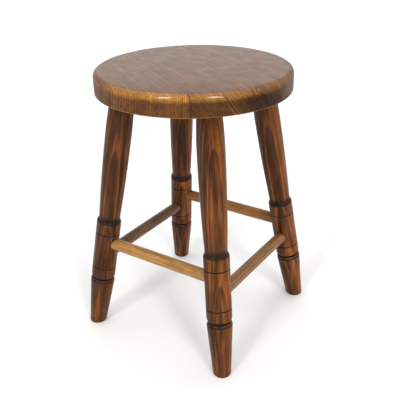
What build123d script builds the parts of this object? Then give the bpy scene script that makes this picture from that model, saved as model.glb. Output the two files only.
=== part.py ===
from build123d import *
import os
from math import cos, radians, sin, tan

# Round wooden stool on four splayed, turned legs.
# The seat is a disc cut from a wide plank and a narrow one, glued edge to edge. Each leg is
# turned from one piece and glued into a blind socket drilled in the underside of the seat.
# Four plain dowels tie the legs together in a box: the front and back ones sit higher than
# the two side ones, so that no two sockets meet inside a leg.
# Millimetres, +Z up, the origin on the floor under the middle of the seat, -Y to the front.

# ---- overall sizes
SEAT_DIAMETER = 300.0
SEAT_THICKNESS = 32.5
STOOL_HEIGHT = 437.0  # floor to the top of the seat

# ---- seat
TOP_ROUND = 8.0  # worked along the upper edge
LOWER_EASE = 2.0  # worked along the lower edge
JOINT_SHARE = 0.21  # middle of the seat to the glued joint, as a share of the diameter
GRAIN_ANGLE = -33.0  # way the boards run, in degrees from +X towards +Y

# ---- how the legs stand
LEG_INSET = 42.5  # rim of the seat to a leg's axis, on the underside
SPLAY = 10.3  # lean of each leg away from the middle, in degrees
LEG_CORNERS = {  # way from the middle to each leg, in degrees from +X towards +Y
    "front_left_leg": 225.0,
    "front_right_leg": 315.0,
    "back_right_leg": 45.0,
    "back_left_leg": 135.0,
}

# ---- leg turning: lengths along the leg's own axis, from the floor up
FOOT_LENGTH = 84.0  # floor to the widest part of the foot
FOOT_SHOULDER = 6.0  # rounded top of the foot
GROOVE_WIDTH = 1.6  # narrow groove between the foot and the barrel
BARREL_START = 4.4  # rounded lower end of the barrel
BARREL_LENGTH = 99.0
LOWER_SCORE = 16.0  # foot of the barrel to the first scored line
UPPER_SCORE = 19.5  # head of the barrel to the second scored line
COLLAR_SHOULDER = 5.4  # rounded head of the barrel
BELLY_SHARE = 0.7  # place of the widest part of the shaft, as a share of its length
SCORE_WIDTH = 1.8

# ---- leg turning: radii
FOOT_END_RADIUS = 14.0  # on the floor
FOOT_TOP_RADIUS = 19.9
GROOVE_RADIUS = 16.0
BARREL_RADIUS = 19.7
SCORE_RADIUS = 18.6
NECK_RADIUS = 16.8
BELLY_RADIUS = 20.4
FOOT_EASE = 2.5  # round where the foot meets the floor

# ---- joints
LEG_TENON_RADIUS = 18.0
LEG_TENON_LENGTH = 19.0  # along the leg's axis, above the underside of the seat
TENON_LEAD = 1.0  # tenon left showing under the lowest lip of its socket
STRETCHER_RADIUS = 9.5
STRETCHER_DEPTH = 22.0  # length of stretcher inside each leg
STRETCHER_STAGGER = 26.0  # between the upper and the lower stretchers, along a leg
TENON_CHAMFER = 1.5
GLUE_GAP = 0.1  # between a tenon and the wall of its socket
SOCKET_SPARE = 1.0  # depth left empty past the end of a tenon

# ---- worked out from the sizes above
seat_radius = SEAT_DIAMETER / 2
underside = STOOL_HEIGHT - SEAT_THICKNESS
lean = radians(SPLAY)
foot_circle = seat_radius - LEG_INSET + underside * tan(lean)
across_grain = Vector(-sin(radians(GRAIN_ANGLE)), cos(radians(GRAIN_ANGLE)), 0)
joint_plane = Plane(across_grain * -JOINT_SHARE * SEAT_DIAMETER, z_dir=across_grain)

# places along a leg's axis, from the floor up
groove_foot = FOOT_LENGTH + FOOT_SHOULDER
groove_head = groove_foot + GROOVE_WIDTH
barrel_foot = groove_head + BARREL_START
barrel_head = barrel_foot + BARREL_LENGTH
first_score = barrel_foot + LOWER_SCORE
second_score = barrel_head - UPPER_SCORE
neck = barrel_head + COLLAR_SHOULDER
tenon_foot = underside / cos(lean) - LEG_TENON_RADIUS * tan(lean) - TENON_LEAD
tenon_head = underside / cos(lean) + LEG_TENON_LENGTH
belly = neck + BELLY_SHARE * (tenon_foot - neck)
stretcher_middle = (first_score + second_score) / 2
upper_level = stretcher_middle + STRETCHER_STAGGER / 2
lower_level = stretcher_middle - STRETCHER_STAGGER / 2

SEAT_BOARDS = {"seat_narrow_board": Keep.BOTTOM, "seat_wide_board": Keep.TOP}
STRETCHERS = {  # the two legs that each stretcher joins, and its place along them
    "front_stretcher": ("front_left_leg", "front_right_leg", upper_level),
    "right_stretcher": ("front_right_leg", "back_right_leg", lower_level),
    "back_stretcher": ("back_right_leg", "back_left_leg", upper_level),
    "left_stretcher": ("back_left_leg", "front_left_leg", lower_level),
}


def leg_direction(leg):
    """Unit vector along a leg's axis, from the floor to the seat."""
    turn = radians(LEG_CORNERS[leg])
    return Vector(-sin(lean) * cos(turn), -sin(lean) * sin(turn), cos(lean))


def leg_point(leg, along):
    """Point on a leg's axis, that far up from the floor."""
    turn = radians(LEG_CORNERS[leg])
    return Vector(cos(turn), sin(turn), 0) * foot_circle + leg_direction(leg) * along


def stretcher_plane(leg, stretcher, past_axis):
    """Plane across a stretcher, that far past the leg's axis, facing out of the leg."""
    first, second, level = STRETCHERS[stretcher]
    far_leg = second if leg == first else first
    start = leg_point(leg, level)
    outwards = (leg_point(far_leg, level) - start).normalized()
    return Plane(origin=start - outwards * past_axis, z_dir=outwards)


def make_board(name, side):
    """One board of the seat: the disc on one side of the joint, drilled for the legs."""
    with BuildPart() as board:
        with BuildSketch(Plane.XZ) as section:
            with BuildLine():
                Polyline(
                    (0, underside),
                    (seat_radius, underside),
                    (seat_radius, STOOL_HEIGHT),
                    (0, STOOL_HEIGHT),
                    close=True,
                )
            make_face()
            rim = section.vertices().group_by(Axis.X)[-1].sort_by(Axis.Y)
            fillet(rim[0], radius=LOWER_EASE)
            fillet(rim[-1], radius=TOP_ROUND)
        revolve(axis=Axis.Z)
        split(bisect_by=joint_plane, keep=side)
        for leg in LEG_CORNERS:
            with BuildSketch(Plane(leg_point(leg, tenon_foot), z_dir=leg_direction(leg))):
                Circle(LEG_TENON_RADIUS + GLUE_GAP)
            extrude(amount=tenon_head + SOCKET_SPARE - tenon_foot, mode=Mode.SUBTRACT)
    board.part.label = name
    export_step(board.part, f"parts/{name}.step")


def make_leg(name):
    """One leg: turned about its own axis, sawn level with the floor, and drilled."""
    upwards = leg_direction(name)
    sideways = upwards.cross(Vector(0, 0, 1)).normalized()
    lathe_plane = Plane(leg_point(name, 0), x_dir=sideways, z_dir=sideways.cross(upwards))
    foot_taper = (FOOT_TOP_RADIUS - FOOT_END_RADIUS) / FOOT_LENGTH
    stub = 2 * FOOT_END_RADIUS * tan(lean)  # length turned below the floor, to be sawn off
    with BuildPart() as leg:
        with BuildSketch(lathe_plane):
            with BuildLine():
                Polyline(
                    (0, tenon_head),
                    (0, -stub),
                    (FOOT_END_RADIUS - foot_taper * stub, -stub),
                    (FOOT_TOP_RADIUS, FOOT_LENGTH),
                )
                TangentArc(
                    (FOOT_TOP_RADIUS, FOOT_LENGTH),
                    (GROOVE_RADIUS, groove_foot),
                    tangent=(0, 1),
                )
                Line((GROOVE_RADIUS, groove_foot), (GROOVE_RADIUS, groove_head))
                TangentArc(
                    (BARREL_RADIUS, barrel_foot),
                    (GROOVE_RADIUS, groove_head),
                    tangent=(0, -1),
                )
                Polyline(
                    (BARREL_RADIUS, barrel_foot),
                    (BARREL_RADIUS, first_score - SCORE_WIDTH / 2),
                    (SCORE_RADIUS, first_score),
                    (BARREL_RADIUS, first_score + SCORE_WIDTH / 2),
                    (BARREL_RADIUS, second_score - SCORE_WIDTH / 2),
                    (SCORE_RADIUS, second_score),
                    (BARREL_RADIUS, second_score + SCORE_WIDTH / 2),
                    (BARREL_RADIUS, barrel_head),
                )
                TangentArc((BARREL_RADIUS, barrel_head), (NECK_RADIUS, neck), tangent=(0, 1))
                TangentArc((BELLY_RADIUS, belly), (NECK_RADIUS, neck), tangent=(0, -1))
                TangentArc(
                    (BELLY_RADIUS, belly),
                    (LEG_TENON_RADIUS, tenon_foot),
                    tangent=(0, 1),
                )
                Polyline(
                    (LEG_TENON_RADIUS, tenon_foot),
                    (LEG_TENON_RADIUS, tenon_head - TENON_CHAMFER),
                    (LEG_TENON_RADIUS - TENON_CHAMFER, tenon_head),
                    (0, tenon_head),
                )
            make_face()
        revolve(axis=Axis(leg_point(name, 0), upwards))
        split(bisect_by=Plane.XY, keep=Keep.TOP)
        fillet(leg.faces().sort_by(Axis.Z)[0].edges(), radius=FOOT_EASE)
        for stretcher, (first, second, _) in STRETCHERS.items():
            if name in (first, second):
                bottom = STRETCHER_DEPTH - BARREL_RADIUS + SOCKET_SPARE
                with BuildSketch(stretcher_plane(name, stretcher, bottom)):
                    Circle(STRETCHER_RADIUS + GLUE_GAP)
                extrude(amount=bottom + 2 * BARREL_RADIUS, mode=Mode.SUBTRACT)
    leg.part.label = name
    export_step(leg.part, f"parts/{name}.step")


def make_stretcher(name):
    """One plain dowel between two legs, with its ends chamfered."""
    first, second, level = STRETCHERS[name]
    past_axis = STRETCHER_DEPTH - BARREL_RADIUS
    span = (leg_point(second, level) - leg_point(first, level)).length
    with BuildPart() as dowel:
        with BuildSketch(stretcher_plane(first, name, past_axis)):
            Circle(STRETCHER_RADIUS)
        extrude(amount=span + 2 * past_axis)
        chamfer(dowel.edges().filter_by(GeomType.CIRCLE), length=TENON_CHAMFER)
    dowel.part.label = name
    export_step(dowel.part, f"parts/{name}.step")


os.makedirs("parts", exist_ok=True)
for board_name, board_side in SEAT_BOARDS.items():
    make_board(board_name, board_side)
for leg_name in LEG_CORNERS:
    make_leg(leg_name)
for stretcher_name in STRETCHERS:
    make_stretcher(stretcher_name)
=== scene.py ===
from math import acos, cos, pi, radians, sin, tan

import bmesh
import bpy
from mathutils import Matrix, Quaternion, Vector, noise


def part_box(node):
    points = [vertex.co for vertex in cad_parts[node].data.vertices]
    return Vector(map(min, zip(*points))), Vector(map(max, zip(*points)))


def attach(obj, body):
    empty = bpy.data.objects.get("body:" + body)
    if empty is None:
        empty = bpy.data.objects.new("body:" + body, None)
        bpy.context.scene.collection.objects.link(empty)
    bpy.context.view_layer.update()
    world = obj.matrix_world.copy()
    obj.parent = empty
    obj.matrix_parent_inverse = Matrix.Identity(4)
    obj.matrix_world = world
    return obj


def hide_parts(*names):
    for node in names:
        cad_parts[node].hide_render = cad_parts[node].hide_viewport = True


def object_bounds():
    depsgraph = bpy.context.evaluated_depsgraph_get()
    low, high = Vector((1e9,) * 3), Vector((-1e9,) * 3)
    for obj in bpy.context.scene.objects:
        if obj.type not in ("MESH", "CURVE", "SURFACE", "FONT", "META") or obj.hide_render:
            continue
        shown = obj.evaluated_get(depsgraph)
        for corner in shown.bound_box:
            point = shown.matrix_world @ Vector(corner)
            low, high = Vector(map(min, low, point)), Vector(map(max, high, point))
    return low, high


# A round wooden stool: a two-plank seat, four splayed turned legs and four dowel stretchers,
# stained brown and lacquered. Metres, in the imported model's own frame. Only the wood's figure is
# in millimetres, because rings and fibres are that small.
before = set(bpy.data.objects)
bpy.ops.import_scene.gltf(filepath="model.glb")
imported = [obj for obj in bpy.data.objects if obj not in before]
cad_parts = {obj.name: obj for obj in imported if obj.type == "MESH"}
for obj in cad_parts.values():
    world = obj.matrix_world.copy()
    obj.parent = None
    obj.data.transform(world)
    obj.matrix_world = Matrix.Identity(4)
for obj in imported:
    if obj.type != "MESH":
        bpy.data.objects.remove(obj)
cad_low, cad_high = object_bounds()
floor_level = cad_low.z

# ---- seat
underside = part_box("seat_wide_board")[0].z
SEAT_RADIUS = 0.150
SEAT_THICKNESS = cad_high.z - underside
TOP_ROUND = 0.008
LOWER_EASE = 0.002
JOINT_FROM_MIDDLE = -0.063  # across the grain
JOINT_EASE = 0.00025  # tiny break along the glued edges
GRAIN_ANGLE = radians(-33.0)

# ---- legs: where they stand
LEG_INSET = 0.0425
SPLAY = radians(10.3)
LEG_CORNERS = {
    "front_left_leg": radians(225.0),
    "front_right_leg": radians(315.0),
    "back_right_leg": radians(45.0),
    "back_left_leg": radians(135.0),
}

# ---- legs: places along the axis, from the floor up
FOOT_TOP = 0.0840
GROOVE_LOW = 0.0900
GROOVE_HIGH = 0.0916
BARREL_LOW = 0.0960
FIRST_SCORE = 0.1120
SECOND_SCORE = 0.1755
BARREL_HIGH = 0.1950
NECK = 0.2004
BELLY_SHARE = 0.7
TENON_LENGTH = 0.0190

# ---- legs: radii
FOOT_END_RADIUS = 0.0140
FOOT_TOP_RADIUS = 0.0199
GROOVE_RADIUS = 0.0160
BARREL_RADIUS = 0.0197
SCORE_RADIUS = 0.0186
NECK_RADIUS = 0.0168
BELLY_RADIUS = 0.0204
TENON_RADIUS = 0.0180
SCORE_WIDTH = 0.0018
SCORE_LIP = 0.0004  # round on the edges of a scored line
FOOT_EASE = 0.0025

# ---- stretchers and joints
DOWEL_RADIUS = 0.0095
DOWEL_DEPTH = 0.0220
TENON_CHAMFER = 0.0015
DOWEL_STAGGER = 0.0130  # above or below the middle of the barrel
DOWEL_UNEVENNESS = 0.016  # how far a dowel's radius wanders, as a share of it
GLUE_GAP = 0.0001
SOCKET_SPARE = 0.0010
TENON_LEAD = 0.0010  # tenon left showing under the lowest lip of its socket

# ---- worked out
foot_circle = SEAT_RADIUS - LEG_INSET + (underside - floor_level) * tan(SPLAY)
leg_to_seat = (underside - floor_level) / cos(SPLAY)
tenon_low = leg_to_seat - TENON_RADIUS * tan(SPLAY) - TENON_LEAD
tenon_high = leg_to_seat + TENON_LENGTH
belly = NECK + BELLY_SHARE * (tenon_low - NECK)
barrel_middle = (FIRST_SCORE + SECOND_SCORE) / 2
STRETCHERS = {  # the two legs that each stretcher joins, and its place along them
    "front_stretcher": ("front_left_leg", "front_right_leg", barrel_middle + DOWEL_STAGGER),
    "right_stretcher": ("front_right_leg", "back_right_leg", barrel_middle - DOWEL_STAGGER),
    "back_stretcher": ("back_right_leg", "back_left_leg", barrel_middle + DOWEL_STAGGER),
    "left_stretcher": ("back_left_leg", "front_left_leg", barrel_middle - DOWEL_STAGGER),
}

# ---- how finely the round shapes are divided
RIM_SIDES = 288
LEG_SIDES = 96
DOWEL_SIDES = 56
DOWEL_STEPS = 56  # along a dowel
SOCKET_SIDES = 64
CRISP_ANGLE = radians(38.0)  # sharper edges than this are drawn crisp

MILLIMETRES = 1000.0  # in a metre


# ------------------------------------------------------------------------------ places
def leg_frame(leg):
    """Matrix of a leg's own axes: origin where its axis meets the floor, Z up the leg."""
    turn = LEG_CORNERS[leg]
    outwards = Vector((cos(turn), sin(turn), 0.0))
    up_leg = (Vector((0, 0, 1)) * cos(SPLAY) - outwards * sin(SPLAY)).normalized()
    side = up_leg.cross(outwards).normalized()
    front = side.cross(up_leg)
    axes = Matrix((front, side, up_leg)).transposed().to_4x4()
    return Matrix.Translation(outwards * foot_circle + Vector((0, 0, floor_level))) @ axes


def leg_point(leg, along):
    """Point on a leg's axis, that far up from the floor."""
    return leg_frame(leg) @ Vector((0, 0, along))


def board_frame():
    """Matrix of the seat's own axes: origin under its middle, X along the grain."""
    return Matrix.Translation((0, 0, underside)) @ Matrix.Rotation(GRAIN_ANGLE, 4, "Z")


def frame_between(start, end):
    """Matrix with its origin at start and Z towards end; Y is kept as level as it can be."""
    along = (end - start).normalized()
    level = Vector((0, 0, 1)).cross(along).normalized()
    axes = Matrix((along.cross(level) * -1, level * -1, along)).transposed().to_4x4()
    return Matrix.Translation(start) @ axes


# ------------------------------------------------------------------------------ mesh code
def rounded(start, end, steps):
    """(radius, height) points on the arc from start to end that leaves start along the axis."""
    inwards = start[0] - end[0]
    rise = end[1] - start[1]
    radius = (inwards**2 + rise**2) / (2 * inwards)
    sweep = acos(1 - inwards / radius)
    direction = 1 if rise > 0 else -1
    points = []
    for step in range(steps + 1):
        angle = sweep * step / steps
        points.append(
            (start[0] - radius * (1 - cos(angle)), start[1] + direction * abs(radius) * sin(angle))
        )
    return points


def scored(middle):
    """Points of a fine scored line cut into the barrel, with eased lips."""
    half = SCORE_WIDTH / 2
    shallow = BARREL_RADIUS - SCORE_LIP / 3
    return [
        (BARREL_RADIUS, middle - half - SCORE_LIP),
        (shallow, middle - half),
        (SCORE_RADIUS, middle - SCORE_LIP / 3),
        (SCORE_RADIUS, middle + SCORE_LIP / 3),
        (shallow, middle + half),
        (BARREL_RADIUS, middle + half + SCORE_LIP),
    ]


def turned(outline, sides):
    """A closed bmesh spun about Z from (radius, height) points, lowest first."""
    made = bmesh.new()
    rings = []
    for radius, height in outline:
        ring = []
        for side in range(sides):
            angle = 2 * pi * side / sides
            ring.append(made.verts.new((radius * cos(angle), radius * sin(angle), height)))
        rings.append(ring)
    for low, high in zip(rings, rings[1:]):
        for side in range(sides):
            after = (side + 1) % sides
            made.faces.new((low[side], low[after], high[after], high[side]))
    made.faces.new(list(reversed(rings[0])))
    made.faces.new(rings[-1])
    return made


def cut_off(made, point, away, ease, steps):
    """Cuts away what lies on the away side of a plane, closes the cut and rounds its edge."""
    everything = made.verts[:] + made.edges[:] + made.faces[:]
    cut = bmesh.ops.bisect_plane(
        made, geom=everything, plane_co=point, plane_no=away, clear_outer=True
    )
    edges = [part for part in cut["geom_cut"] if isinstance(part, bmesh.types.BMEdge)]
    bmesh.ops.edgeloop_fill(made, edges=edges)
    bmesh.ops.bevel(
        made, geom=edges, offset=ease, segments=steps, profile=0.5, affect="EDGES"
    )
    bmesh.ops.recalc_face_normals(made, faces=made.faces)


def piece_from(made, name, place):
    """Turns a bmesh into an object at a matrix, smooth except at crisp edges.

    The object only moves to its place. Its mesh is turned, so its box fits it closely.
    """
    bmesh.ops.transform(made, matrix=place.to_3x3().to_4x4(), verts=made.verts)
    mesh = bpy.data.meshes.new(name)
    made.to_mesh(mesh)
    made.free()
    mesh.shade_smooth()
    mesh.set_sharp_from_angle(angle=CRISP_ANGLE)
    piece = bpy.data.objects.new(name, mesh)
    piece.location = place.translation
    bpy.context.scene.collection.objects.link(piece)
    return piece


def bake_modifiers(piece):
    """Applies every modifier on a piece."""
    bpy.context.view_layer.update()
    shape = piece.evaluated_get(bpy.context.evaluated_depsgraph_get())
    finished = bpy.data.meshes.new_from_object(shape)
    piece.modifiers.clear()
    old = piece.data
    piece.data = finished
    bpy.data.meshes.remove(old)
    finished.name = piece.name


def drill(piece, sockets):
    """Cuts round blind sockets, each (start, end, radius) in the stool's frame, into a piece."""
    bits = []
    for start, end, radius in sockets:
        outline = [(radius, 0.0), (radius, (end - start).length)]
        bit = piece_from(turned(outline, SOCKET_SIDES), "drill_bit", frame_between(start, end))
        cut = piece.modifiers.new("socket", "BOOLEAN")
        cut.operation = "DIFFERENCE"
        cut.solver = "EXACT"
        cut.object = bit
        bits.append(bit)
    bake_modifiers(piece)
    for bit in bits:
        mesh = bit.data
        bpy.data.objects.remove(bit)
        bpy.data.meshes.remove(mesh)
    piece.data.set_sharp_from_angle(angle=CRISP_ANGLE)


def true_up_flats(piece):
    """Makes flat faces shade flat and round ones smooth, by weighting the normals by area."""
    weighted = piece.modifiers.new("weighted_normals", "WEIGHTED_NORMAL")
    weighted.keep_sharp = True
    weighted.weight = 100  # the largest face at a corner sets its normal
    bake_modifiers(piece)


def true_up_barrel(piece, up_leg):
    """Gives the drilled barrel of a leg the normals of a true cylinder."""
    mesh = piece.data
    normals = [corner.vector.copy() for corner in mesh.corner_normals]
    for face in mesh.polygons:
        along = face.center.dot(up_leg)
        on_barrel = BARREL_LOW < along < BARREL_HIGH
        upright = abs(face.normal.dot(up_leg)) < 0.01
        outside = (face.center - up_leg * along).length > BARREL_RADIUS * 0.99
        if not (on_barrel and upright and outside):
            continue
        for corner in face.loop_indices:
            spot = mesh.vertices[mesh.loops[corner].vertex_index].co
            normals[corner] = (spot - up_leg * spot.dot(up_leg)).normalized()
    mesh.normals_split_custom_set(normals)


# ------------------------------------------------------------------------------ pieces
def dowel_sockets(leg):
    """The sockets in a leg for its two stretchers."""
    sockets = []
    for first, second, level in STRETCHERS.values():
        if leg not in (first, second):
            continue
        far_leg = second if leg == first else first
        axis = leg_point(leg, level)
        outwards = (leg_point(far_leg, level) - axis).normalized()
        bottom = axis - outwards * (DOWEL_DEPTH - BARREL_RADIUS + SOCKET_SPARE)
        mouth = axis + outwards * 2 * BARREL_RADIUS
        sockets.append((bottom, mouth, DOWEL_RADIUS + GLUE_GAP))
    return sockets


def make_leg(leg):
    """One turned leg, with its tenon, its sockets and a foot sawn level with the floor."""
    stub = 2 * FOOT_END_RADIUS * tan(SPLAY)
    taper = (FOOT_TOP_RADIUS - FOOT_END_RADIUS) / FOOT_TOP
    outline = [(FOOT_END_RADIUS - taper * stub, -stub)]
    outline += rounded((FOOT_TOP_RADIUS, FOOT_TOP), (GROOVE_RADIUS, GROOVE_LOW), 10)
    outline += reversed(rounded((BARREL_RADIUS, BARREL_LOW), (GROOVE_RADIUS, GROOVE_HIGH), 8))
    outline += scored(FIRST_SCORE)
    outline += scored(SECOND_SCORE)
    outline += rounded((BARREL_RADIUS, BARREL_HIGH), (NECK_RADIUS, NECK), 10)
    outline += list(reversed(rounded((BELLY_RADIUS, belly), (NECK_RADIUS, NECK), 24)))[1:]
    outline += rounded((BELLY_RADIUS, belly), (TENON_RADIUS, tenon_low), 12)[1:]
    outline += [(TENON_RADIUS, tenon_high - TENON_CHAMFER)]
    outline += [(TENON_RADIUS - TENON_CHAMFER, tenon_high)]
    made = turned(outline, LEG_SIDES)
    place = leg_frame(leg)
    downwards = place.to_3x3().inverted() @ Vector((0, 0, -1))
    cut_off(made, Vector((0, 0, 0)), downwards, FOOT_EASE, 5)
    piece = piece_from(made, leg.replace("_leg", "_turned_leg"), place)
    drill(piece, dowel_sockets(leg))
    true_up_barrel(piece, place.to_3x3() @ Vector((0, 0, 1)))
    return piece


def make_board(name, kept_side):
    """One board of the seat: the rounded disc on one side of the joint, drilled for legs."""
    outline = list(reversed(rounded((SEAT_RADIUS, LOWER_EASE), (SEAT_RADIUS - LOWER_EASE, 0), 5)))
    top_edge = (SEAT_RADIUS, SEAT_THICKNESS - TOP_ROUND)
    outline += rounded(top_edge, (SEAT_RADIUS - TOP_ROUND, SEAT_THICKNESS), 12)
    made = turned(outline, RIM_SIDES)
    joint = Vector((0, JOINT_FROM_MIDDLE, 0))
    cut_off(made, joint, Vector((0, -kept_side, 0)), JOINT_EASE, 2)
    place = board_frame()
    piece = piece_from(made, name, place)
    sockets = []
    for leg in LEG_CORNERS:
        start = leg_point(leg, tenon_low)
        end = leg_point(leg, tenon_high + SOCKET_SPARE)
        centre = place.inverted() @ end
        if (centre.y - JOINT_FROM_MIDDLE) * kept_side > 0:
            sockets.append((start, end, TENON_RADIUS + GLUE_GAP))
    drill(piece, sockets)
    true_up_flats(piece)
    return piece


def dowel_ends(stretcher):
    """The two ends of a stretcher, inside its legs."""
    first, second, level = STRETCHERS[stretcher]
    start, end = leg_point(first, level), leg_point(second, level)
    past_axis = (end - start).normalized() * (DOWEL_DEPTH - BARREL_RADIUS)
    return start - past_axis, end + past_axis


def make_dowel(stretcher):
    """One dowel between two legs, with chamfered ends and a slightly uneven surface."""
    start, end = dowel_ends(stretcher)
    length = (end - start).length
    seed = STRETCHERS[stretcher][2] * 90 + len(stretcher)  # its own place in the noise
    outline = [(DOWEL_RADIUS - TENON_CHAMFER, 0.0)]
    for step in range(DOWEL_STEPS + 1):
        share = step / DOWEL_STEPS
        outline.append((DOWEL_RADIUS, TENON_CHAMFER + share * (length - 2 * TENON_CHAMFER)))
    outline.append((DOWEL_RADIUS - TENON_CHAMFER, length))
    made = turned(outline, DOWEL_SIDES)
    for spot in made.verts:
        share = spot.co.z / length
        bump = noise.noise(Vector((spot.co.x * 60, spot.co.y * 60, spot.co.z * 22 + seed)))
        swell = 1 + DOWEL_UNEVENNESS * bump * sin(pi * share)
        spot.co.x *= swell
        spot.co.y *= swell
    name = stretcher.replace("_stretcher", "_dowel")
    return piece_from(made, name, frame_between(start, end))


# ------------------------------------------------------------------------------ node helpers
def feed(tree, socket, value):
    """Links a socket to an output, or sets it to a constant."""
    if isinstance(value, bpy.types.NodeSocket):
        tree.links.new(value, socket)
    else:
        socket.default_value = value


def calc(tree, operation, *values):
    """A Math node; gives its output."""
    made = tree.nodes.new("ShaderNodeMath")
    made.operation = operation
    for socket, value in zip(made.inputs, values):
        feed(tree, socket, value)
    return made.outputs[0]


def vector_calc(tree, operation, *values):
    """A Vector Math node; gives its vector, or its value for a length or dot product."""
    made = tree.nodes.new("ShaderNodeVectorMath")
    made.operation = operation
    for socket, value in zip(made.inputs, values):
        feed(tree, socket, value)
    return made.outputs["Value" if operation in ("LENGTH", "DOT_PRODUCT") else "Vector"]


def scaled(tree, vector, amount):
    """A vector times a number."""
    made = tree.nodes.new("ShaderNodeVectorMath")
    made.operation = "SCALE"
    feed(tree, made.inputs[0], vector)
    feed(tree, made.inputs["Scale"], amount)
    return made.outputs[0]


def separate(tree, vector):
    """The X, Y and Z of a vector."""
    made = tree.nodes.new("ShaderNodeSeparateXYZ")
    feed(tree, made.inputs[0], vector)
    return made.outputs


def ramp(tree, value, low, high, to_low=0.0, to_high=1.0):
    """A smooth step of value from low to high."""
    made = tree.nodes.new("ShaderNodeMapRange")
    made.interpolation_type = "SMOOTHSTEP"
    for socket, given in zip(made.inputs, (value, low, high, to_low, to_high)):
        feed(tree, socket, given)
    return made.outputs[0]


def mixed(tree, share, first, second, blend="MIX"):
    """A colour between first and second."""
    made = tree.nodes.new("ShaderNodeMix")
    made.data_type = "RGBA"
    made.blend_type = blend
    made.clamp_factor = True
    feed(tree, made.inputs[0], share)
    feed(tree, made.inputs[6], first)  # 6 and 7 are the node's two colours
    feed(tree, made.inputs[7], second)
    return made.outputs[2]


def cloud(tree, vector, size, detail=2.0, rough=0.5):
    """Noise from 0 to 1; size is that of one blotch along X, Y and Z, in the vector's units."""
    made = tree.nodes.new("ShaderNodeTexNoise")
    made.inputs["Scale"].default_value = 1.0
    made.inputs["Detail"].default_value = detail
    made.inputs["Roughness"].default_value = rough
    stretched = vector_calc(tree, "MULTIPLY", vector, [1 / length for length in size])
    feed(tree, made.inputs["Vector"], stretched)
    return made.outputs["Fac"]


def stripes(tree, value, detail):
    """Noise from 0 to 1 along one value."""
    made = tree.nodes.new("ShaderNodeTexNoise")
    made.noise_dimensions = "1D"
    made.inputs["Scale"].default_value = 1.0
    made.inputs["Detail"].default_value = detail
    feed(tree, made.inputs["W"], value)
    return made.outputs["Fac"]


def new_group(name, inputs, outputs):
    """A shader node group; gives its tree, what comes in by name and what has to go out."""
    tree = bpy.data.node_groups.new(name, "ShaderNodeTree")
    kinds = {"value": "NodeSocketFloat", "vector": "NodeSocketVector"}
    for label, kind, default in inputs:
        socket = tree.interface.new_socket(label, in_out="INPUT", socket_type=kinds[kind])
        if default is not None:
            socket.default_value = default
    for label, kind in outputs:
        tree.interface.new_socket(label, in_out="OUTPUT", socket_type=kinds[kind])
    entry = tree.nodes.new("NodeGroupInput")
    exit_node = tree.nodes.new("NodeGroupOutput")
    return tree, entry.outputs, exit_node.inputs


def placed(tree, group, **values):
    """Puts a group into a material; underscores in the names of values stand for spaces."""
    made = tree.nodes.new("ShaderNodeGroup")
    made.node_tree = group
    for label, value in values.items():
        feed(tree, made.inputs[label.replace("_", " ")], value)
    return made.outputs


# ------------------------------------------------------------------------------ node groups
NO_SLOW_GROWTH = 1000.0  # farther from the pith than any wood of the stool


def annual_rings_group():
    """Growth rings round the Z axis of a point in millimetres, in uneven years."""
    tree, given, out = new_group(
        "annual_rings",
        [
            ("Timber Point", "vector", None),
            ("Ring Width", "value", 4.0),
            ("Slow Growth From", "value", NO_SLOW_GROWTH),
            ("Slow Ring Width", "value", 1.6),
            ("Wander", "value", 3.0),
            ("Late Share", "value", 0.45),
        ],
        [
            ("Late Wood", "value"),
            ("Ring Line", "value"),
            ("Year Tone", "value"),
            ("Distance", "value"),
        ],
    )
    point = given["Timber Point"]
    across = vector_calc(tree, "MULTIPLY", point, (1, 1, 0))
    radius = vector_calc(tree, "LENGTH", across)
    # the rings wander, slowly and a little finely, round the trunk and along it
    slow = calc(tree, "SUBTRACT", cloud(tree, point, (34, 34, 260), 1.0), 0.5)
    fine = calc(tree, "SUBTRACT", cloud(tree, point, (7, 7, 90), 2.0), 0.5)
    radius = calc(tree, "MULTIPLY_ADD", slow, given["Wander"], radius)
    radius = calc(tree, "MULTIPLY_ADD", fine, calc(tree, "MULTIPLY", given["Wander"], 0.16), radius)
    # good and bad years make some rings wide and some narrow
    coarse_width = calc(tree, "MULTIPLY", given["Ring Width"], 1.7)
    uneven = stripes(tree, calc(tree, "DIVIDE", radius, coarse_width), 1.0)
    shift = calc(tree, "MULTIPLY", calc(tree, "SUBTRACT", uneven, 0.5), 1.3)
    years = calc(tree, "ADD", calc(tree, "DIVIDE", radius, given["Ring Width"]), shift)
    # past the place where growth slowed, there are more rings to the millimetre
    beyond = calc(tree, "MAXIMUM", calc(tree, "SUBTRACT", radius, given["Slow Growth From"]), 0.0)
    extra = calc(
        tree,
        "SUBTRACT",
        calc(tree, "DIVIDE", 1.0, given["Slow Ring Width"]),
        calc(tree, "DIVIDE", 1.0, given["Ring Width"]),
    )
    years = calc(tree, "MULTIPLY_ADD", beyond, extra, years)
    # within a year the late wood comes on slowly, and ends almost at once
    season = calc(tree, "FRACT", years)
    late_from = calc(tree, "SUBTRACT", 0.93, given["Late Share"])
    fall = ramp(tree, season, 0.94, 1.0, 1.0, 0.0)
    rise = ramp(tree, season, late_from, 0.90)
    feed(tree, out["Late Wood"], calc(tree, "MULTIPLY", rise, fall))
    line = ramp(tree, season, 0.74, 0.90)
    feed(tree, out["Ring Line"], calc(tree, "MULTIPLY", line, fall))
    white = tree.nodes.new("ShaderNodeTexWhiteNoise")
    white.noise_dimensions = "1D"
    feed(tree, white.inputs["W"], calc(tree, "FLOOR", years))
    feed(tree, out["Year Tone"], white.outputs["Value"])
    feed(tree, out["Distance"], radius)
    return tree


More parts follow.
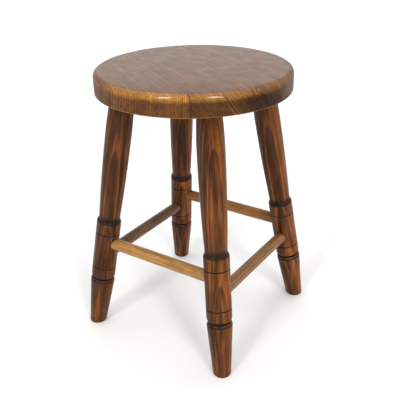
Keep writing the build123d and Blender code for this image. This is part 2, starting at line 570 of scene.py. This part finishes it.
def wood_fibres_group():
    """Fibres along Z of a point in millimetres: broad streaks, fine lines and short dark flecks."""
    tree, given, out = new_group(
        "wood_fibres",
        [("Timber Point", "vector", None)],
        [("Streaks", "value"), ("Fibres", "value"), ("Flecks", "value")],
    )
    point = given["Timber Point"]
    feed(tree, out["Streaks"], cloud(tree, point, (3.2, 3.2, 85), 3.0, 0.55))
    feed(tree, out["Fibres"], cloud(tree, point, (0.55, 0.55, 26), 3.0, 0.6))
    fleck = cloud(tree, point, (0.62, 0.62, 7.5), 1.0)
    feed(tree, out["Flecks"], ramp(tree, fleck, 0.60, 0.72))
    return tree


def edge_wear_group():
    """Where an edge sticks out and is rubbed thin, broken up by the fibres."""
    tree, given, out = new_group(
        "edge_wear",
        [("Reach", "value", 0.0012), ("Break Up", "value", 0.5)],
        [("Wear", "value")],
    )
    bevel = tree.nodes.new("ShaderNodeBevel")
    bevel.samples = 4
    feed(tree, bevel.inputs["Radius"], given["Reach"])
    geometry = tree.nodes.new("ShaderNodeNewGeometry")
    agreement = vector_calc(tree, "DOT_PRODUCT", bevel.outputs[0], geometry.outputs["Normal"])
    rubbed = ramp(tree, agreement, 0.995, 0.90)
    broken = ramp(tree, given["Break Up"], 0.30, 0.62)
    feed(tree, out["Wear"], calc(tree, "MULTIPLY", rubbed, broken))
    return tree


def painted_corner_shade_group():
    """Painted shade: darker in inside corners and round the joints, found by ambient occlusion."""
    tree, given, out = new_group(
        "painted_corner_shade", [("Reach", "value", 0.006)], [("Shade", "value")]
    )
    corner = tree.nodes.new("ShaderNodeAmbientOcclusion")
    corner.samples = 8
    feed(tree, corner.inputs["Distance"], given["Reach"])
    feed(tree, out["Shade"], ramp(tree, corner.outputs["AO"], 0.86, 0.30))
    return tree


def lacquer_skin_group():
    """Unevenness of a brushed lacquer: soft gloss changes and a low rolling surface."""
    tree, given, out = new_group(
        "lacquer_skin",
        [("Point", "vector", None)],
        [("Gloss Change", "value"), ("Skin Height", "value"), ("Nibs", "value")],
    )
    point = given["Point"]
    feed(tree, out["Gloss Change"], cloud(tree, point, (22, 22, 34), 3.0, 0.6))
    feed(tree, out["Skin Height"], cloud(tree, point, (5, 5, 11), 2.0, 0.5))
    feed(tree, out["Nibs"], ramp(tree, cloud(tree, point, (0.9, 0.9, 0.9), 0.0), 0.74, 0.82))
    return tree


def turning_group():
    """Marks of the lathe on a leg, by height in millimetres: fine rings and scorched bands."""
    tree, given, out = new_group(
        "turning_marks",
        [("Point", "vector", None), ("Rag", "value", 0.5)],
        [("Scorch", "value"), ("Tool Rings", "value")],
    )
    along = separate(tree, given["Point"])["Z"]
    height = calc(tree, "MULTIPLY_ADD", calc(tree, "SUBTRACT", given["Rag"], 0.5), 1.6, along)
    bands = [  # a place on the leg, then from there: lowest, darkest from, darkest to, highest
        (FOOT_TOP, -1.0, 0.6, 2.2, 4.0),
        (GROOVE_LOW, -2.4, -0.8, 2.6, 4.6),
        (FIRST_SCORE, -1.6, -0.8, 0.6, 1.3),
        (SECOND_SCORE, -1.6, -0.8, 0.6, 1.3),
        (BARREL_HIGH, -1.8, 1.0, 7.0, 15.0),
    ]
    scorch = 0.0
    for place, lowest, dark_low, dark_high, highest in bands:
        middle = place * MILLIMETRES
        rising = ramp(tree, height, middle + lowest, middle + dark_low)
        falling = ramp(tree, height, middle + dark_high, middle + highest, 1.0, 0.0)
        band = calc(tree, "MULTIPLY", rising, falling)
        scorch = calc(tree, "MAXIMUM", band, scorch)
    feed(tree, out["Scorch"], scorch)
    tool_rings = stripes(tree, calc(tree, "MULTIPLY", along, 1.4), 3.0)
    feed(tree, out["Tool Rings"], tool_rings)
    return tree


annual_rings = annual_rings_group()
wood_fibres = wood_fibres_group()
edge_wear = edge_wear_group()
painted_corner_shade = painted_corner_shade_group()
lacquer_skin = lacquer_skin_group()
turning_marks = turning_group()

# ------------------------------------------------------------------------------ wood
SCORCHED = (0.012, 0.008, 0.006, 1)
# dark colour of grime flecks and the glue line, and of the painted shade in corners
GRIME_AND_SHADE = (0.020, 0.010, 0.005, 1)
DARK_STAIN = (0.038, 0.015, 0.006, 1)
WORN_AND_LIT_WAY = (0.92, -0.39)  # way to the most rubbed part of the rim, along and across the grain; it faces the camera and lamps, and its lighter colour is partly painted light
WORN_AND_LIT_FROM = 62.0  # along that way, from the middle of the seat
WORN_AND_LIT_FULLY = 148.0
BAND_BLUR = 4.0  # how softly the band of rubbed and painted-light colour ends, above and below the foot of the round
STAINED_RELIEF = 0.00006  # height of the raised grain under stain and lacquer
OILED_RELIEF = 0.00007


def start_material(name, place):
    """A new material: its tree, its shader, and the point and normal on the piece's own axes.

    The point is in millimetres, from the place where the piece's axes start.
    """
    material = bpy.data.materials.new(name)
    material.use_nodes = True
    tree = material.node_tree
    shader = tree.nodes["Principled BSDF"]
    coordinates = tree.nodes.new("ShaderNodeTexCoord")
    turned_back = place.to_3x3().inverted().to_euler()
    own = []
    for socket in ("Object", "Normal"):
        mapping = tree.nodes.new("ShaderNodeMapping")
        mapping.inputs["Rotation"].default_value = turned_back
        feed(tree, mapping.inputs["Vector"], coordinates.outputs[socket])
        own.append(mapping.outputs[0])
    return material, tree, shader, scaled(tree, own[0], MILLIMETRES), own[1]


def timber_point(tree, point, turn, shift):
    """The point seen from the middle of the tree that the piece was sawn from."""
    mapping = tree.nodes.new("ShaderNodeMapping")
    feed(tree, mapping.inputs["Vector"], point)
    mapping.inputs["Rotation"].default_value = turn
    mapping.inputs["Location"].default_value = shift
    return mapping.outputs[0]


def lacquer(shader, under_gloss, coat_roughness):
    """Constants of a lacquered surface: the sheen of the wood below and that of the lacquer."""
    shader.inputs["IOR"].default_value = 1.45
    shader.inputs["Specular IOR Level"].default_value = under_gloss
    shader.inputs["Coat Roughness"].default_value = coat_roughness
    shader.inputs["Coat IOR"].default_value = 1.5


def relief(tree, shader, parts, depth):
    """A bump from (height, share) parts, added up; depth is what a share of 1 comes to."""
    total = 0.0
    for height, amount in parts:
        total = calc(tree, "MULTIPLY_ADD", height, amount, total)
    bump = tree.nodes.new("ShaderNodeBump")
    bump.inputs["Strength"].default_value = 1.0
    bump.inputs["Distance"].default_value = depth
    feed(tree, bump.inputs["Height"], total)
    feed(tree, shader.inputs["Normal"], bump.outputs[0])


def tinted(tree, colour, value, low, high, dark, bright):
    """A colour made darker or brighter as value goes from low to high."""
    return mixed(tree, 1.0, colour, ramp(tree, value, low, high, dark, bright), "MULTIPLY")


def seat_wood(
    name,
    pith,
    ring_width,
    tones,
    lean=0.0,
    stretch=1.0,
    slow_from=NO_SLOW_GROWTH,
    slow_width=1.0,
    heart=1.0,
):
    """Stained and lacquered board; pith is where the tree's middle was, (across, up) in mm.

    tones are a light and a dark one for the side, for where an edge is rubbed and painted lighter
    as if lit, and for the top.
    The rings are ovals, stretched along a line that leans by that angle from upright. They are
    ring_width wide as far as slow_from, and slow_width wide beyond it. heart is how bright the
    wood next to the pith is, where 1 is like the rest.
    """
    material, tree, shader, point, normal = start_material(name, board_frame())
    place = separate(tree, point)
    log = timber_point(tree, point, (0, -pi / 2, 0), (pith[1], -pith[0], 0))
    leaning = timber_point(tree, log, (0, 0, -lean), (0, 0, 0))
    timber = vector_calc(tree, "MULTIPLY", leaning, (1 / stretch, 1, 1))
    rings = placed(
        tree,
        annual_rings,
        Timber_Point=timber,
        Ring_Width=ring_width,
        Slow_Growth_From=slow_from,
        Slow_Ring_Width=slow_width,
        Wander=4.0,
        Late_Share=0.60,
    )
    fibres = placed(tree, wood_fibres, Timber_Point=timber)
    skin = placed(tree, lacquer_skin, Point=point)
    shade = placed(tree, painted_corner_shade, Reach=0.008)["Shade"]
    slope = separate(tree, normal)["Z"]
    on_top = ramp(tree, slope, 0.90, 0.995)
    above_side = ramp(tree, slope, 0.10, 0.40)
    ragged = calc(tree, "MULTIPLY_ADD", fibres["Streaks"], 2.0, place["Z"])
    band_edge = (SEAT_THICKNESS - TOP_ROUND) * MILLIMETRES - 0.6
    band = ramp(tree, ragged, band_edge - BAND_BLUR, band_edge + BAND_BLUR)
    upper_edge = calc(tree, "MULTIPLY", band, ramp(tree, slope, 0.93, 0.995, 1.0, 0.0))
    # the upper round is lighter towards the side that faces the camera and lamps: wear in part,
    # painted light in part
    worn_and_lit_side = vector_calc(tree, "DOT_PRODUCT", point, (WORN_AND_LIT_WAY[0], WORN_AND_LIT_WAY[1], 0))
    worn_and_lit_side = ramp(tree, worn_and_lit_side, WORN_AND_LIT_FROM, WORN_AND_LIT_FULLY, 0.25, 1.0)
    upper_edge = calc(tree, "MULTIPLY", upper_edge, worn_and_lit_side)
    # painted reflection of the bright floor: the downward lower ease takes the lighter edge tone
    lower_edge = calc(
        tree, "MULTIPLY", ramp(tree, slope, -0.12, -0.35), ramp(tree, slope, -0.95, -0.6)
    )
    # rubbed holds wear with painted light on the upper round, and the painted reflection on the
    # lower ease
    rubbed = calc(tree, "MAXIMUM", upper_edge, calc(tree, "MULTIPLY", lower_edge, 0.8))

    # the early wood soaks up the stain, so it is the late wood that stays light
    light, dark, rubbed_and_lit_light, rubbed_and_lit_dark, top_light, top_dark = tones
    line = calc(tree, "MULTIPLY", rings["Ring Line"], 0.45)
    late = calc(tree, "MULTIPLY_ADD", rings["Late Wood"], 0.55, line)
    late = calc(tree, "MULTIPLY", late, ramp(tree, rings["Distance"], 1.0, 9.0, 0.35, 1.0))
    side = mixed(tree, late, dark, light)
    side = tinted(tree, side, rings["Distance"], 16.0, 42.0, heart, 1.0)
    edge = mixed(tree, late, rubbed_and_lit_dark, rubbed_and_lit_light)
    edge = tinted(tree, edge, rings["Distance"], 10.0, 40.0, (heart + 1) / 2, 1.0)
    top = mixed(tree, late, top_dark, top_light)
    colour = mixed(tree, on_top, side, top)
    # the edge tone, wear with painted light, laid on the rubbed band
    colour = mixed(tree, rubbed, colour, edge)
    colour = tinted(tree, colour, fibres["Streaks"], 0.30, 0.72, 0.80, 1.18)
    colour = tinted(tree, colour, fibres["Fibres"], 0.30, 0.70, 0.86, 1.12)
    colour = tinted(tree, colour, rings["Year Tone"], 0.0, 1.0, 0.86, 1.12)
    blotch = cloud(tree, point, (38, 26, 26), 3.0)
    colour = tinted(tree, colour, blotch, 0.30, 0.70, 0.84, 1.14)
    colour = mixed(tree, calc(tree, "MULTIPLY", fibres["Flecks"], 0.30), colour, GRIME_AND_SHADE)
    glue_line = glue_line_mask(tree, place["Y"])
    glue_line = calc(tree, "MULTIPLY", glue_line, ramp(tree, on_top, 0.0, 1.0, 0.85, 0.12))
    colour = mixed(tree, glue_line, colour, GRIME_AND_SHADE)
    # painted shade in corners and round the sockets, from the ambient occlusion mask
    colour = mixed(tree, calc(tree, "MULTIPLY", shade, 0.8), colour, GRIME_AND_SHADE)
    feed(tree, shader.inputs["Base Color"], colour)
    lacquer(shader, under_gloss=0.08, coat_roughness=0.12)
    edge_polish = calc(tree, "MULTIPLY", above_side, worn_and_lit_side)
    edge_polish = calc(tree, "MULTIPLY", edge_polish, ramp(tree, on_top, 0.0, 1.0, 1.0, 0.40))
    top_polish = calc(tree, "MULTIPLY", on_top, ramp(tree, worn_and_lit_side, 0.25, 0.8, 0.50, 0.40))
    polish = calc(tree, "MAXIMUM", edge_polish, top_polish)
    feed(tree, shader.inputs["Coat Weight"], ramp(tree, polish, 0.0, 1.0, 0.05, 0.90))
    feed(tree, shader.inputs["Roughness"], ramp(tree, skin["Gloss Change"], 0.3, 0.7, 0.36, 0.52))
    parts = [
        (late, 0.30),
        (fibres["Fibres"], 0.30),
        (fibres["Flecks"], -0.35),
        (skin["Skin Height"], 0.5),
        (skin["Nibs"], 0.25),
        (glue_line, -0.8),
    ]
    relief(tree, shader, parts, STAINED_RELIEF)
    return material


def glue_line_mask(tree, across):
    """A hairline along the glued joint of the seat."""
    joint = JOINT_FROM_MIDDLE * MILLIMETRES
    off_joint = calc(tree, "ABSOLUTE", calc(tree, "SUBTRACT", across, joint))
    return ramp(tree, off_joint, 0.25, 0.75, 1.0, 0.0)


def leg_wood(name, leg, face, tilt, pith, ring_width, dark_way, tones):
    """Dark stained wood of a turned leg.

    face is the way its flat-sawn side looks and dark_way the side that took most stain, both in
    radians from +X towards +Y. The grain runs out of the leg by the tilt, and pith is how far
    the tree's middle was from its axis. tones are a glowing, a light, a dark and a worn one.
    """
    material, tree, shader, point, _ = start_material(name, leg_frame(leg))
    turn = Matrix.Rotation(LEG_CORNERS[leg] - face - pi / 2, 3, "Z")
    turn = Matrix.Rotation(-tilt, 3, "X") @ turn
    timber = timber_point(tree, point, turn.to_euler(), (0, -pith, 0))
    rings = placed(
        tree,
        annual_rings,
        Timber_Point=timber,
        Ring_Width=ring_width,
        Wander=3.0,
        Late_Share=0.85,
    )
    fibres = placed(tree, wood_fibres, Timber_Point=timber)
    skin = placed(tree, lacquer_skin, Point=point)
    lathe = placed(tree, turning_marks, Point=point, Rag=fibres["Fibres"])
    shade = placed(tree, painted_corner_shade, Reach=0.007)["Shade"]
    wear = placed(tree, edge_wear, Reach=0.0012, Break_Up=fibres["Streaks"])["Wear"]

    glow, light, dark, worn = tones
    colour = mixed(tree, rings["Late Wood"], dark, light)  # the stain soaks into the early wood
    smear = cloud(tree, timber, (8, 8, 150), 3.0, 0.55)
    turned_away = dark_way - LEG_CORNERS[leg]
    one_side = vector_calc(tree, "DOT_PRODUCT", point, (cos(turned_away), sin(turned_away), 0))
    soaked = calc(tree, "MULTIPLY_ADD", one_side, -0.010, smear)  # lowest where stain is deepest
    colour = mixed(tree, ramp(tree, soaked, 0.36, 0.56, 0.84, 0.0), colour, DARK_STAIN)
    colour = mixed(tree, calc(tree, "MULTIPLY", rings["Ring Line"], 0.24), colour, glow)
    colour = tinted(tree, colour, fibres["Streaks"], 0.28, 0.72, 0.74, 1.24)
    colour = tinted(tree, colour, fibres["Fibres"], 0.30, 0.70, 0.84, 1.14)
    colour = tinted(tree, colour, cloud(tree, point, (16, 16, 48), 2.0), 0.32, 0.66, 0.72, 1.16)
    colour = mixed(tree, calc(tree, "MULTIPLY", fibres["Flecks"], 0.25), colour, GRIME_AND_SHADE)
    colour = mixed(tree, calc(tree, "MULTIPLY", wear, 0.45), colour, worn)
    colour = mixed(tree, calc(tree, "MULTIPLY", lathe["Scorch"], 0.88), colour, SCORCHED)
    # painted shade where the leg meets the seat and the dowels, from the ambient occlusion mask
    colour = mixed(tree, calc(tree, "MULTIPLY", shade, 0.75), colour, GRIME_AND_SHADE)
    feed(tree, shader.inputs["Base Color"], colour)
    lacquer(shader, under_gloss=0.06, coat_roughness=0.17)
    feed(tree, shader.inputs["Coat Weight"], ramp(tree, skin["Gloss Change"], 0.3, 0.7, 0.22, 0.14))
    feed(tree, shader.inputs["Roughness"], ramp(tree, skin["Gloss Change"], 0.3, 0.7, 0.34, 0.50))
    parts = [
        (rings["Late Wood"], 0.25),
        (fibres["Fibres"], 0.25),
        (fibres["Flecks"], -0.30),
        (skin["Skin Height"], 0.8),
        (lathe["Tool Rings"], 0.45),
    ]
    relief(tree, shader, parts, STAINED_RELIEF)
    return material


def dowel_wood(name, stretcher, pith, ring_width, tones, coat):
    """Straight-grained dowel, oiled or stained and thinly lacquered; tones are light and dark."""
    place = frame_between(*dowel_ends(stretcher))
    material, tree, shader, point, _ = start_material(name, place)
    timber = timber_point(tree, point, (0.02, 0.01, 0), (pith, 0, 0))
    rings = placed(
        tree,
        annual_rings,
        Timber_Point=timber,
        Ring_Width=ring_width,
        Wander=2.0,
        Late_Share=0.6,
    )
    fibres = placed(tree, wood_fibres, Timber_Point=timber)
    skin = placed(tree, lacquer_skin, Point=point)
    shade = placed(tree, painted_corner_shade, Reach=0.008)["Shade"]
    light, dark = tones
    colour = mixed(tree, calc(tree, "MULTIPLY", rings["Late Wood"], 0.7), light, dark)
    colour = tinted(tree, colour, fibres["Streaks"], 0.28, 0.72, 0.76, 1.18)
    colour = tinted(tree, colour, fibres["Fibres"], 0.30, 0.70, 0.84, 1.12)
    colour = tinted(tree, colour, cloud(tree, point, (9, 9, 22), 3.0), 0.32, 0.68, 0.80, 1.12)
    colour = mixed(tree, calc(tree, "MULTIPLY", fibres["Flecks"], 0.35), colour, dark)
    # painted shade where the dowel meets its legs, from the ambient occlusion mask
    colour = mixed(tree, calc(tree, "MULTIPLY", shade, 0.75), colour, GRIME_AND_SHADE)
    feed(tree, shader.inputs["Base Color"], colour)
    lacquer(shader, under_gloss=0.20, coat_roughness=0.24)
    shader.inputs["Coat Weight"].default_value = coat
    feed(tree, shader.inputs["Roughness"], ramp(tree, skin["Gloss Change"], 0.3, 0.7, 0.38, 0.55))
    parts = [
        (fibres["Fibres"], 0.35),
        (fibres["Flecks"], -0.40),
        (skin["Skin Height"], 1.0),
    ]
    relief(tree, shader, parts, OILED_RELIEF)
    return material


# ------------------------------------------------------------------------------ the stool
def finish_piece(piece, node, material):
    """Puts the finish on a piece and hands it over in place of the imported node."""
    piece.data.materials.clear()
    piece.data.materials.append(material)
    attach(piece, "root")
    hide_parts(node)


def build_seat():
    """The two boards of the seat."""
    narrow = seat_wood(
        "narrow_board_wood",
        pith=(110.0, 4.0),
        ring_width=2.3,
        tones=(
            (0.170, 0.070, 0.020, 1),  # side
            (0.100, 0.039, 0.012, 1),
            (0.540, 0.250, 0.048, 1),  # rubbed edges, partly painted light
            (0.350, 0.142, 0.024, 1),
            (0.210, 0.092, 0.018, 1),  # top
            (0.130, 0.054, 0.011, 1),
        ),
    )
    wide = seat_wood(
        "wide_board_wood",
        pith=(43.0, 15.0),
        ring_width=1.9,
        tones=(
            (0.220, 0.085, 0.022, 1),  # side
            (0.045, 0.018, 0.008, 1),
            (0.600, 0.285, 0.060, 1),  # rubbed edges, partly painted light
            (0.210, 0.080, 0.016, 1),
            (0.210, 0.086, 0.016, 1),  # top
            (0.122, 0.046, 0.010, 1),
        ),
        lean=radians(38.0),
        stretch=3.6,
        slow_from=50.0,
        heart=0.42,
    )
    finish_piece(make_board("narrow_seat_plank", -1), "seat_narrow_board", narrow)
    finish_piece(make_board("wide_seat_plank", 1), "seat_wide_board", wide)


def build_legs():
    """The four turned legs, each with its own figure."""
    tones = (
        (0.330, 0.110, 0.019, 1),  # glowing
        (0.215, 0.063, 0.010, 1),  # light
        (0.116, 0.036, 0.007, 1),  # dark
        (0.280, 0.120, 0.040, 1),  # worn
    )
    figures = {  # flat-sawn side, tilt, distance to the pith, ring width, most stained side
        "front_right_leg": (radians(313), radians(2.6), 61.2, 4.1, radians(222)),
        "front_left_leg": (radians(302), radians(2.4), 71.0, 4.6, radians(292)),
        "back_right_leg": (radians(296), radians(2.2), 58.5, 4.4, radians(225)),
        "back_left_leg": (radians(305), radians(2.5), 80.2, 4.8, radians(240)),
    }
    for leg, (face, tilt, pith, width, dark_way) in figures.items():
        wood = leg_wood(leg + "_wood", leg, face, tilt, pith, width, dark_way, tones)
        finish_piece(make_leg(leg), leg, wood)


def build_stretchers():
    """The four dowels: the front one pale, the others stained to different depths."""
    finishes = {  # distance to the pith, ring width, light and dark tone, coat of lacquer
        "front_stretcher": (30.0, 3.0, ((0.430, 0.220, 0.068, 1), (0.270, 0.118, 0.030, 1)), 0.20),
        "right_stretcher": (24.0, 2.6, ((0.300, 0.140, 0.045, 1), (0.130, 0.052, 0.018, 1)), 0.30),
        "back_stretcher": (36.0, 3.2, ((0.300, 0.120, 0.030, 1), (0.130, 0.046, 0.012, 1)), 0.25),
        "left_stretcher": (28.0, 2.8, ((0.160, 0.072, 0.028, 1), (0.070, 0.030, 0.013, 1)), 0.30),
    }
    for stretcher, (pith, width, tones, coat) in finishes.items():
        wood = dowel_wood(stretcher + "_wood", stretcher, pith, width, tones, coat)
        finish_piece(make_dowel(stretcher), stretcher, wood)


build_seat()
build_legs()
build_stretchers()


# ------------------------------------------------------------------------------ studio
FLOOR_RADIUS = 9.0
FLOOR_SIDES = 128
FLOOR_PAPER = (0.97, 0.97, 0.965, 1)
DIM_SIDE = 0.50  # brightness of the room behind the camera
BRIGHT_SIDE = 1.10  # and beyond the stool
SIDE_BLEND = 0.55  # how far from the middle of the room one side runs into the other
ROOM_TILT = 0.25  # makes the room brighter towards its ceiling
BOX_LIGHT = 10.8  # added to the room's brightness by a soft box
BOX_HALF_WIDTH = radians(6.0)
BOX_LOW = radians(15.0)  # up from level, as seen from the stool
BOX_HIGH = radians(47.0)
BOX_BLUR = radians(2.5)
LAMP_LIGHT = 0.06
LAMP_SPREAD = radians(15.0)
LAMP_ELEVATION = radians(45.0)
CAMERA_AZIMUTH = radians(34.31)  # from the front, towards +X
LEFT_LIGHT = CAMERA_AZIMUTH - radians(36.0)
RIGHT_LIGHT = CAMERA_AZIMUTH + radians(24.5)
CAMERA_DISTANCE = 0.9025  # level, from the middle of the stool
CAMERA_HEIGHT = 0.6630
AIM_SIDEWAYS = 0.0059
AIM_HEIGHT = 0.2121
CAMERA_ROLL = radians(-1.197)
LENS = 54.62
SENSOR_WIDTH = 36.0


def way_to(azimuth, elevation=0.0):
    """Unit vector that way: azimuth from the front towards +X, elevation up from level."""
    return Vector(
        (sin(azimuth) * cos(elevation), -cos(azimuth) * cos(elevation), sin(elevation))
    )


def build_floor():
    """A wide pale floor, a little rough, and clear when it is seen from below."""
    made = bmesh.new()
    bmesh.ops.create_circle(made, cap_ends=True, segments=FLOOR_SIDES, radius=FLOOR_RADIUS)
    floor = piece_from(made, "studio_floor", Matrix.Translation((0, 0, floor_level)))
    material = bpy.data.materials.new("studio_floor_paper")
    material.use_nodes = True
    tree = material.node_tree
    shader = tree.nodes["Principled BSDF"]
    coordinates = tree.nodes.new("ShaderNodeTexCoord")
    grain = cloud(tree, coordinates.outputs["Object"], (0.8, 0.8, 0.8), 3.0)
    tone = ramp(tree, grain, 0.2, 0.8, 0.965, 0.985)
    feed(tree, shader.inputs["Base Color"], mixed(tree, tone, (0, 0, 0, 1), FLOOR_PAPER))
    shader.inputs["Roughness"].default_value = 0.9
    shader.inputs["Specular IOR Level"].default_value = 0.1
    from_below = tree.nodes.new("ShaderNodeNewGeometry").outputs["Backfacing"]
    clear = tree.nodes.new("ShaderNodeBsdfTransparent")
    either = tree.nodes.new("ShaderNodeMixShader")
    feed(tree, either.inputs[0], from_below)
    feed(tree, either.inputs[1], shader.outputs[0])
    feed(tree, either.inputs[2], clear.outputs[0])
    feed(tree, tree.nodes["Material Output"].inputs["Surface"], either.outputs[0])
    floor.data.materials.append(material)


def add_lamp(name, azimuth):
    """A faint distant soft lamp behind a soft box, so that the whole floor is lit alike."""
    data = bpy.data.lights.new(name, "SUN")
    data.energy = LAMP_LIGHT
    data.angle = LAMP_SPREAD
    lamp = bpy.data.objects.new(name, data)
    towards = way_to(azimuth, LAMP_ELEVATION)
    lamp.location = towards * 3  # any distance does, since its light is parallel
    lamp.rotation_mode = "QUATERNION"
    lamp.rotation_quaternion = (-towards).to_track_quat("-Z", "Y")
    bpy.context.scene.collection.objects.link(lamp)


def soft_box(tree, direction, azimuth):
    """Mask of a tall soft box that stands in the room at that azimuth."""
    height = separate(tree, direction)["Z"]
    level = vector_calc(tree, "MULTIPLY", direction, (1, 1, 0))
    level = vector_calc(tree, "NORMALIZE", level)
    facing = vector_calc(tree, "DOT_PRODUCT", level, way_to(azimuth))
    across = ramp(tree, facing, cos(BOX_HALF_WIDTH + BOX_BLUR), cos(BOX_HALF_WIDTH - BOX_BLUR))
    above = ramp(tree, height, sin(BOX_LOW - BOX_BLUR), sin(BOX_LOW + BOX_BLUR))
    below = ramp(tree, height, sin(BOX_HIGH - BOX_BLUR), sin(BOX_HIGH + BOX_BLUR), 1.0, 0.0)
    return calc(tree, "MULTIPLY", across, calc(tree, "MULTIPLY", above, below))


def build_studio():
    """A white room, darker behind the camera, with a tall soft box on its left and right."""
    world = bpy.data.worlds.new("studio")
    world.use_nodes = True
    tree = world.node_tree
    background = tree.nodes["Background"]
    direction = tree.nodes.new("ShaderNodeTexCoord").outputs["Generated"]
    away = (-sin(CAMERA_AZIMUTH), cos(CAMERA_AZIMUTH), ROOM_TILT)
    facing = vector_calc(tree, "DOT_PRODUCT", direction, away)
    room = ramp(tree, facing, -SIDE_BLEND, SIDE_BLEND, DIM_SIDE, BRIGHT_SIDE)
    for azimuth in (LEFT_LIGHT, RIGHT_LIGHT):
        box = soft_box(tree, direction, azimuth)
        room = calc(tree, "MULTIPLY_ADD", box, BOX_LIGHT, room)
    rays = tree.nodes.new("ShaderNodeLightPath")
    seen = tree.nodes.new("ShaderNodeMix")  # plain white where the camera sees past the floor
    feed(tree, seen.inputs[0], rays.outputs["Is Camera Ray"])
    feed(tree, seen.inputs[2], room)
    seen.inputs[3].default_value = 1.0
    background.inputs["Color"].default_value = (1.0, 1.0, 1.0, 1)
    feed(tree, background.inputs["Strength"], seen.outputs[0])
    bpy.context.scene.world = world
    add_lamp("left_lamp", LEFT_LIGHT)
    add_lamp("right_lamp", RIGHT_LIGHT)
    bpy.context.scene.view_settings.view_transform = "Standard"


def build_camera():
    """The camera, above and to the right of the front."""
    data = bpy.data.cameras.new("camera")
    data.lens = LENS
    data.sensor_width = SENSOR_WIDTH
    camera = bpy.data.objects.new("camera", data)
    sideways = way_to(CAMERA_AZIMUTH + pi / 2)
    level_place = way_to(CAMERA_AZIMUTH) * CAMERA_DISTANCE
    camera.location = level_place + Vector((0, 0, floor_level + CAMERA_HEIGHT))
    aim = sideways * AIM_SIDEWAYS + Vector((0, 0, floor_level + AIM_HEIGHT))
    look = (aim - camera.location).to_track_quat("-Z", "Y")
    camera.rotation_mode = "QUATERNION"
    camera.rotation_quaternion = look @ Quaternion((0, 0, 1), CAMERA_ROLL)
    bpy.context.scene.collection.objects.link(camera)
    bpy.context.scene.camera = camera


build_floor()
build_studio()
build_camera()
